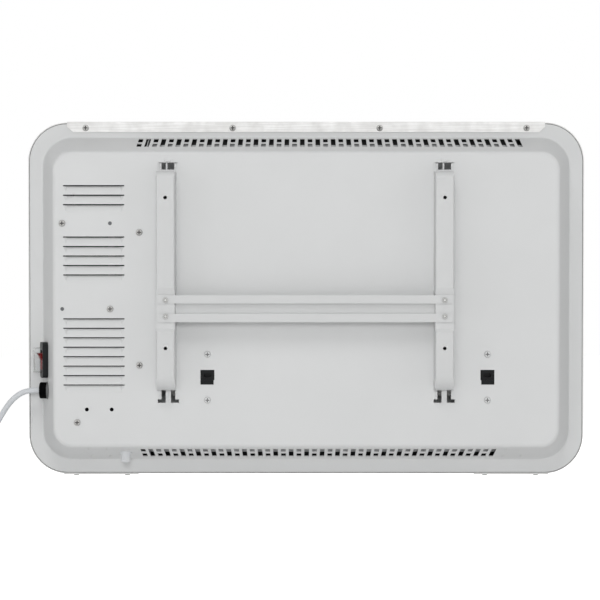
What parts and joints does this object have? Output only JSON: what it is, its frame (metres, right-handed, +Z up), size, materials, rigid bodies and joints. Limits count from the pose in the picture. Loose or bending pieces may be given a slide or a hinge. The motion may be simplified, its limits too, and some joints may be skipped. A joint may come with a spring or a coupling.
{
  "type": "wall panel convector heater",
  "caption": "Wall-hung electric panel convector with a pressed steel back, inlet and outlet grilles, louvres, side rocker switch, mains cord and a hook-on wall bracket.",
  "frame": {"origin": "middle of the four wall-screw holes, on the wall's surface", "axes": "+X to the right as seen from behind, along the heater's length; +Y from the wall into the room; +Z up"},
  "size_m": [0.7217, 0.1181, 0.5307],
  "materials": {
    "casing_paint": "satin powder coat",
    "panel_paint": "smooth satin paint",
    "strip_metal": "brushed",
    "plated_steel": "zinc plated",
    "galvanised": "galvanised sheet",
    "element_metal": "extruded, matt",
    "ceramic": "glazed ceramic",
    "black_plastic": "moulded",
    "dark_plastic": "moulded",
    "red_rocker": "translucent red",
    "clear_cover": "clear flexible plastic",
    "pale_plastic": "moulded",
    "grey_cord": "smooth cord sheath",
    "board_green": "coated circuit board",
    "component": "component bodies",
    "frame_plastic": "gloss moulded",
    "lens": "smoked",
    "button_plastic": "moulded",
    "silicone_lead": "heat-proof sleeve",
    "pin_metal": "nickel plated"
  },
  "bodies": {
    "wall_bracket": {"bracket_upright_left": "casing_paint", "bracket_upright_right": "casing_paint", "bracket_crossbar": "casing_paint", "bracket_rivets": "plated_steel"},
    "heater": {"rear_casing": "casing_paint", "front_panel": "panel_paint", "top_strip": "strip_metal", "strip_screws": "plated_steel", "foot_plate_left": "casing_paint", "foot_plate_right": "casing_paint", "foot_screws": "plated_steel", "casing_screws": "plated_steel", "support_screws": "plated_steel", "heating_element": "element_metal", "element_insulators": "ceramic", "support_straps": "galvanised", "element_holder_left": "black_plastic", "element_holder_right": "black_plastic", "divider_wall": "galvanised", "lead_grommet": "black_plastic", "thermal_cutout": "plated_steel", "heat_shield": "galvanised", "board_holder": "pale_plastic", "power_board": "board_green", "relay": "component", "transformer": "component", "capacitor": "component", "terminal_block": "pale_plastic", "tip_switch": "black_plastic", "earth_tag": "plated_steel", "sensor_sleeve": "pale_plastic", "sensor_bush": "dark_plastic", "room_sensor": "black_plastic", "switch_housing": "dark_plastic", "switch_cover": "clear_cover", "cord_gland": "black_plastic", "gland_nut": "black_plastic", "supply_lead": "grey_cord", "element_leads": "silicone_lead", "control_frame": "frame_plastic", "display_lens": "lens", "display_module": "component", "control_board": "board_green", "key_switches": "component", "cord_lead": "grey_cord", "cord_coil": "grey_cord", "cord_tie": "black_plastic", "plug_body": "grey_cord", "plug_pins": "pin_metal", "plug_clips": "pin_metal"},
    "switch_rocker": {"switch_rocker": "red_rocker"},
    "button_power": {"button_power": "button_plastic"},
    "button_mode": {"button_mode": "button_plastic"},
    "button_down": {"button_down": "button_plastic"},
    "button_up": {"button_up": "button_plastic"}
  },
  "joints": [
    {"name": "heater_lift", "type": "slide", "parent": "wall_bracket", "child": "heater", "axis": [0, 0, 1], "range_m": [0, 0.014]},
    {"name": "rocker_tilt", "type": "hinge", "parent": "heater", "child": "switch_rocker", "pos_m": [-0.29662, 0.06748, -0.0997], "axis": [0.2915, -0.9566, 0], "range_deg": [-26, 0]},
    {"name": "button_power_press", "type": "slide", "parent": "heater", "child": "button_power", "axis": [0, -1, 0], "range_m": [0, 0.0008], "stiffness_N_per_m": 400},
    {"name": "button_mode_press", "type": "slide", "parent": "heater", "child": "button_mode", "axis": [0, -1, 0], "range_m": [0, 0.0008], "stiffness_N_per_m": 400},
    {"name": "button_down_press", "type": "slide", "parent": "heater", "child": "button_down", "axis": [0, -1, 0], "range_m": [0, 0.0008], "stiffness_N_per_m": 400},
    {"name": "button_up_press", "type": "slide", "parent": "heater", "child": "button_up", "axis": [0, -1, 0], "range_m": [0, 0.0008], "stiffness_N_per_m": 400}
  ]
}
